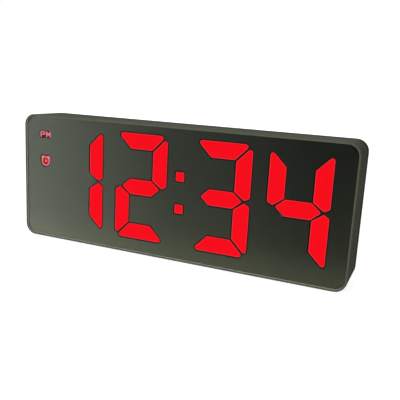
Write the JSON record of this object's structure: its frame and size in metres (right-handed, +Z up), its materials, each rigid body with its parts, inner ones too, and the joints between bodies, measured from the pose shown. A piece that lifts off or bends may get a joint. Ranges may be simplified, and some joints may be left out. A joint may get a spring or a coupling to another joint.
{
  "type": "table clock",
  "caption": "Slim free-standing digital table clock: a mirrored front panel with lit red digits, buttons, slide switch, power inlet and battery door on the back.",
  "frame": {"origin": "under the middle of the case, on the surface that the feet stand on", "axes": "+X to the right as seen from the front, the front faces -Y, +Z up"},
  "size_m": [0.16, 0.023, 0.0604],
  "materials": {
    "housing_plastic": "satin moulded ABS",
    "cover_plastic": "satin moulded ABS",
    "clear_panel": "polished acrylic",
    "mirror_film": "dark half mirror",
    "tape": "black tape",
    "light_box": "black moulded plastic",
    "lit_tile": "frosted plastic, lit red",
    "idle_tile": "frosted plastic, unlit",
    "led": "encapsulated chip",
    "board": "solder-masked laminate",
    "screw_steel": "zinc plated",
    "chip_black": "moulded epoxy",
    "can_sleeve": "shrink sleeve",
    "crystal_can": "drawn can",
    "contact_metal": "nickel plated",
    "cell_wrap": "printed sleeve",
    "red_wire": "insulation",
    "black_wire": "insulation",
    "door_plastic": "satin moulded ABS",
    "button_plastic": "satin moulded ABS",
    "knob_plastic": "moulded plastic",
    "switch_metal": "stamped sheet",
    "socket_metal": "stamped sheet",
    "socket_plastic": "moulded plastic",
    "mic_can": "drawn can",
    "foot_rubber": "moulded rubber"
  },
  "bodies": {
    "case": {"front_housing": "housing_plastic", "rear_cover": "cover_plastic", "front_lens": "clear_panel", "mirror_film": "mirror_film", "panel_tape": "tape", "reflector": "light_box", "digit_1": "lit_tile", "digit_2": "lit_tile", "digit_3": "lit_tile", "digit_4": "lit_tile", "colon_dots": "lit_tile", "pm_mark": "lit_tile", "alarm_mark": "lit_tile", "idle_strokes": "idle_tile", "red_leds": "led", "main_board": "board", "reflector_screws": "screw_steel", "driver_chip": "chip_black", "chip_resistors": "chip_black", "capacitor": "can_sleeve", "clock_crystal": "crystal_can", "board_link": "chip_black", "control_board": "board", "control_screws": "screw_steel", "push_switches": "chip_black", "slide_switch": "switch_metal", "power_socket_shell": "socket_metal", "power_socket_tongue": "socket_plastic", "microphone": "mic_can", "sounder": "chip_black", "battery_cells": "cell_wrap", "battery_contacts": "contact_metal", "battery_springs": "contact_metal", "red_lead": "red_wire", "black_lead": "black_wire", "case_screws": "screw_steel", "rubber_feet": "foot_rubber"},
    "set_key": {"set_button": "button_plastic", "set_plunger": "chip_black"},
    "up_key": {"up_button": "button_plastic", "up_plunger": "chip_black"},
    "down_key": {"down_button": "button_plastic", "down_plunger": "chip_black"},
    "knob": {"switch_knob": "knob_plastic"},
    "door": {"battery_door": "door_plastic"}
  },
  "joints": [
    {"name": "set_press", "type": "slide", "parent": "case", "child": "set_key", "axis": [0, -1, 0], "range_m": [0, 0.0005], "stiffness_N_per_m": 1500},
    {"name": "up_press", "type": "slide", "parent": "case", "child": "up_key", "axis": [0, -1, 0], "range_m": [0, 0.0005], "stiffness_N_per_m": 1500},
    {"name": "down_press", "type": "slide", "parent": "case", "child": "down_key", "axis": [0, -1, 0], "range_m": [0, 0.0005], "stiffness_N_per_m": 1500},
    {"name": "knob_slide", "type": "slide", "parent": "case", "child": "knob", "axis": [1, 0, 0], "range_m": [0, 0.002]},
    {"name": "door_swing", "type": "hinge", "parent": "case", "child": "door", "pos_m": [-0.033, 0.0115, 0.048], "axis": [1, 0, 0], "range_deg": [0, 80]}
  ]
}
